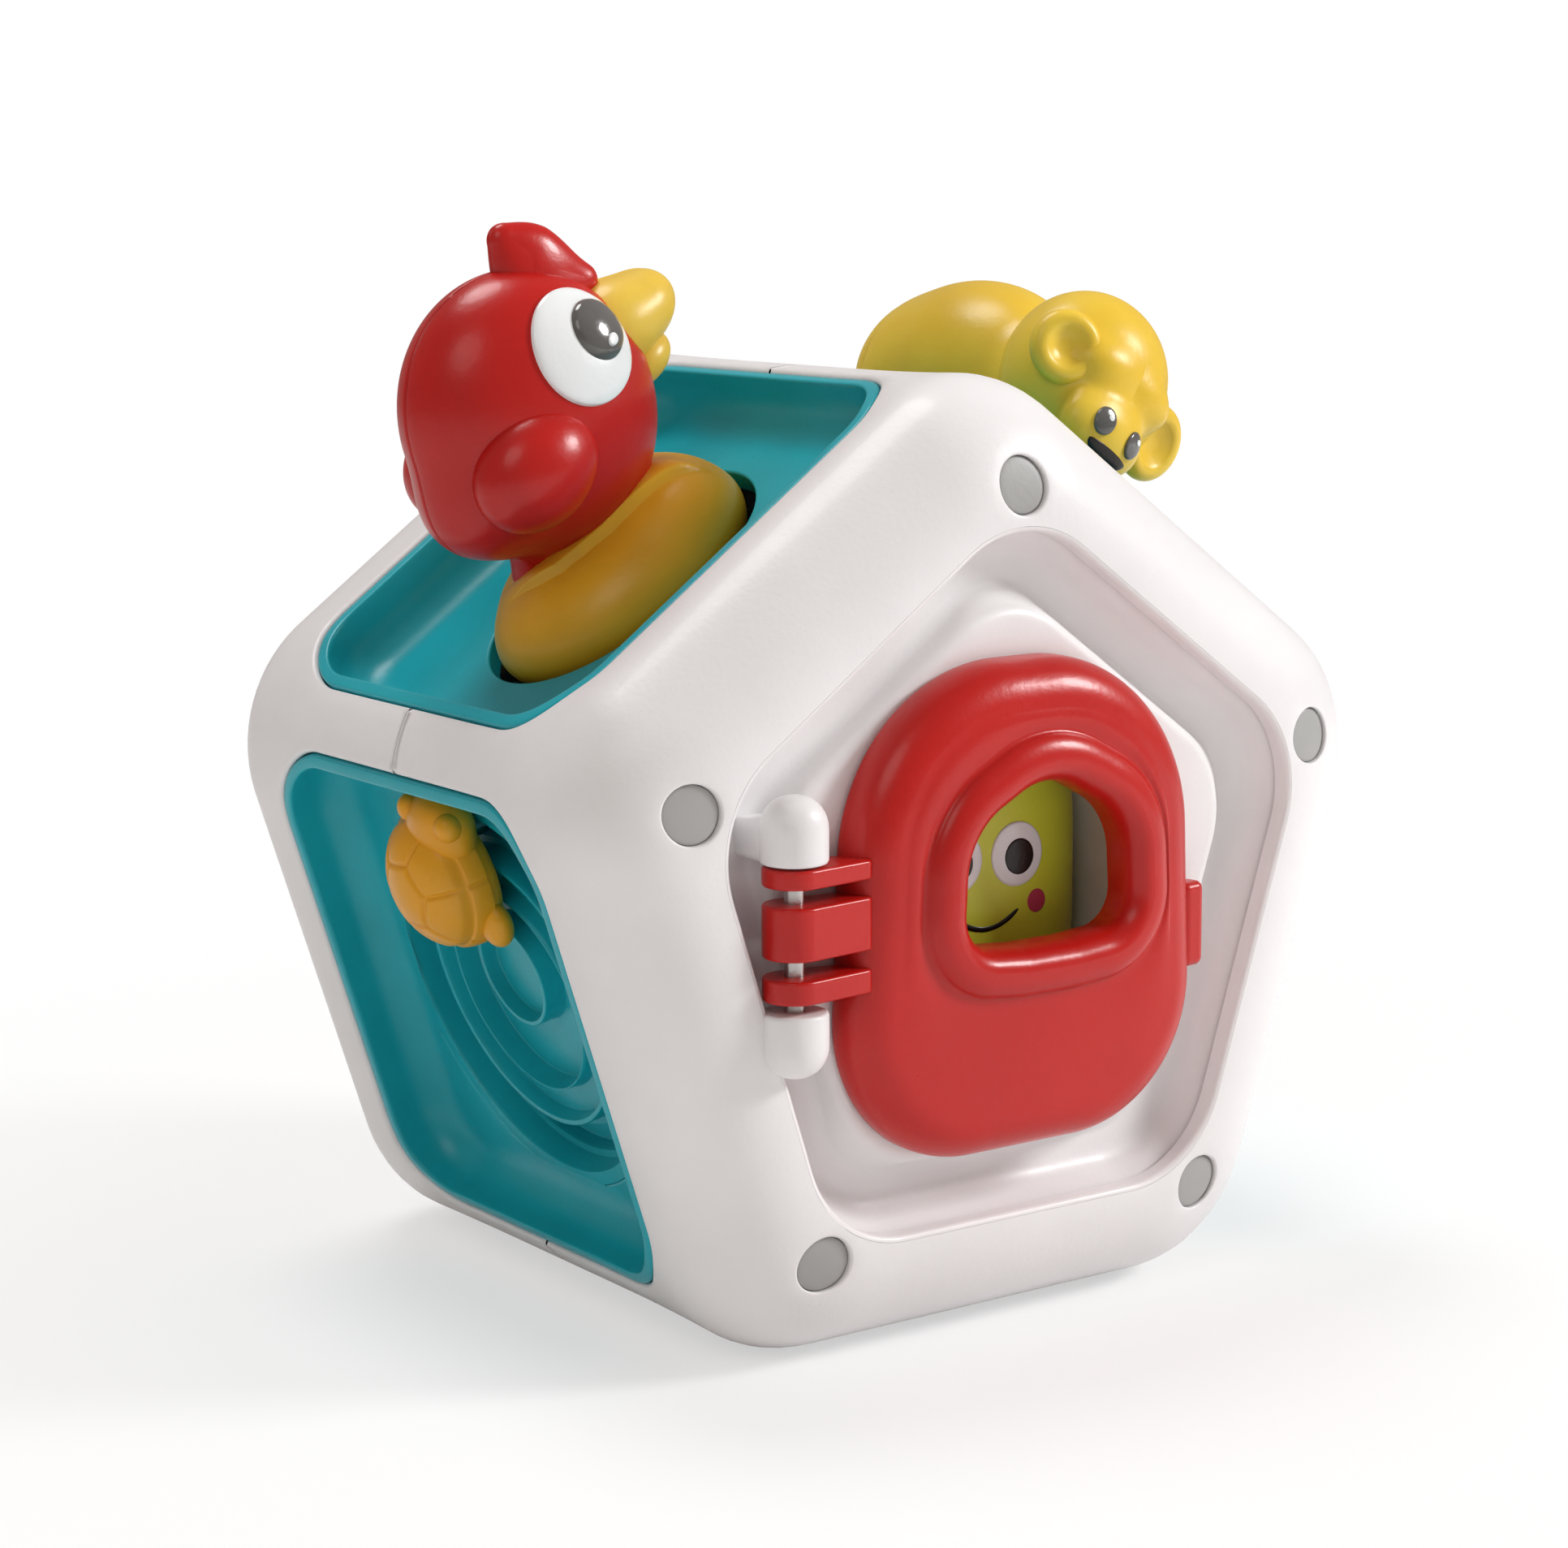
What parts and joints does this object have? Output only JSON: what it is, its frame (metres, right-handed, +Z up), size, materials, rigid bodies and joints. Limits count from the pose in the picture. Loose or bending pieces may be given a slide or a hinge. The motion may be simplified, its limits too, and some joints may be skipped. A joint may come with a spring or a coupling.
{
  "type": "five-sided activity toy",
  "caption": "Five-sided activity toy with a hinged peek door, a rocking bird, a spinning monkey and a turtle that slides round a track.",
  "frame": {"origin": "middle of the bottom side, on the plane the toy stands on", "axes": "+Z up, the prism lies along Y and the door side faces -Y, +X to the right as seen from the door side"},
  "size_m": [0.1574, 0.1302, 0.1759],
  "materials": {
    "white_plastic": "satin",
    "teal_plastic": "satin",
    "red_plastic": "gloss",
    "amber_plastic": "satin",
    "orange_plastic": "satin",
    "pale_yellow_plastic": "satin",
    "dark_plastic": "gloss",
    "eye_white": "gloss",
    "grey_plastic": "matt",
    "lime_plastic": "satin",
    "steel": "satin"
  },
  "bodies": {
    "body": {"front_shell": "white_plastic", "rear_shell": "white_plastic", "door_panel": "white_plastic", "rear_panel": "white_plastic", "bird_tray": "teal_plastic", "maze_tray": "teal_plastic", "monkey_tray": "teal_plastic", "right_tray": "teal_plastic", "base_panel": "white_plastic", "body_screws": "steel", "screw_plugs": "grey_plastic", "door_panel_screws": "steel", "rear_panel_screws": "steel", "peek_figure": "lime_plastic", "peek_figure_screws": "steel", "hinge_pin": "steel", "bird_bracket": "white_plastic", "bird_bracket_screws": "steel", "bird_pivot_pin": "steel", "bird_spring": "steel"},
    "door": {"door_front": "red_plastic", "door_back": "red_plastic"},
    "bird": {"bird_perch": "amber_plastic", "bird_left_half": "red_plastic", "bird_right_half": "red_plastic", "bird_beak": "amber_plastic", "bird_eye_whites": "eye_white", "bird_pupils": "dark_plastic", "bird_screws": "steel"},
    "turtle": {"turtle_shell": "orange_plastic", "turtle_body": "orange_plastic", "turtle_stem": "steel", "turtle_washer": "steel", "turtle_screw": "steel"},
    "monkey": {"monkey_spindle": "pale_yellow_plastic", "monkey_front_half": "pale_yellow_plastic", "monkey_rear_half": "pale_yellow_plastic", "monkey_head": "pale_yellow_plastic", "monkey_ears": "pale_yellow_plastic", "monkey_eyes": "dark_plastic", "monkey_mouth": "dark_plastic", "monkey_body_screws": "steel", "monkey_washer": "steel", "monkey_screw": "steel"}
  },
  "joints": [
    {"name": "door_hinge", "type": "hinge", "parent": "body", "child": "door", "pos_m": [-0.0448, -0.0617, 0.0706], "axis": [0, 0, -1], "range_deg": [0, 112]},
    {"name": "bird_rock", "type": "hinge", "parent": "body", "child": "bird", "pos_m": [-0.03092, 0, 0.11315], "axis": [0, 1, 0], "range_deg": [-12, 12], "stiffness_Nm_per_rad": 0.35},
    {"name": "monkey_spin", "type": "hinge", "parent": "body", "child": "monkey", "pos_m": [0.03527, 0, 0.11914], "axis": [0.5878, 0, 0.809], "continuous": true},
    {"name": "turtle_slide_arc", "type": "hinge", "parent": "body", "child": "turtle", "pos_m": [-0.05706, 0, 0.05206], "axis": [-0.9511, 0, -0.309], "range_deg": [-50, 223]}
  ]
}
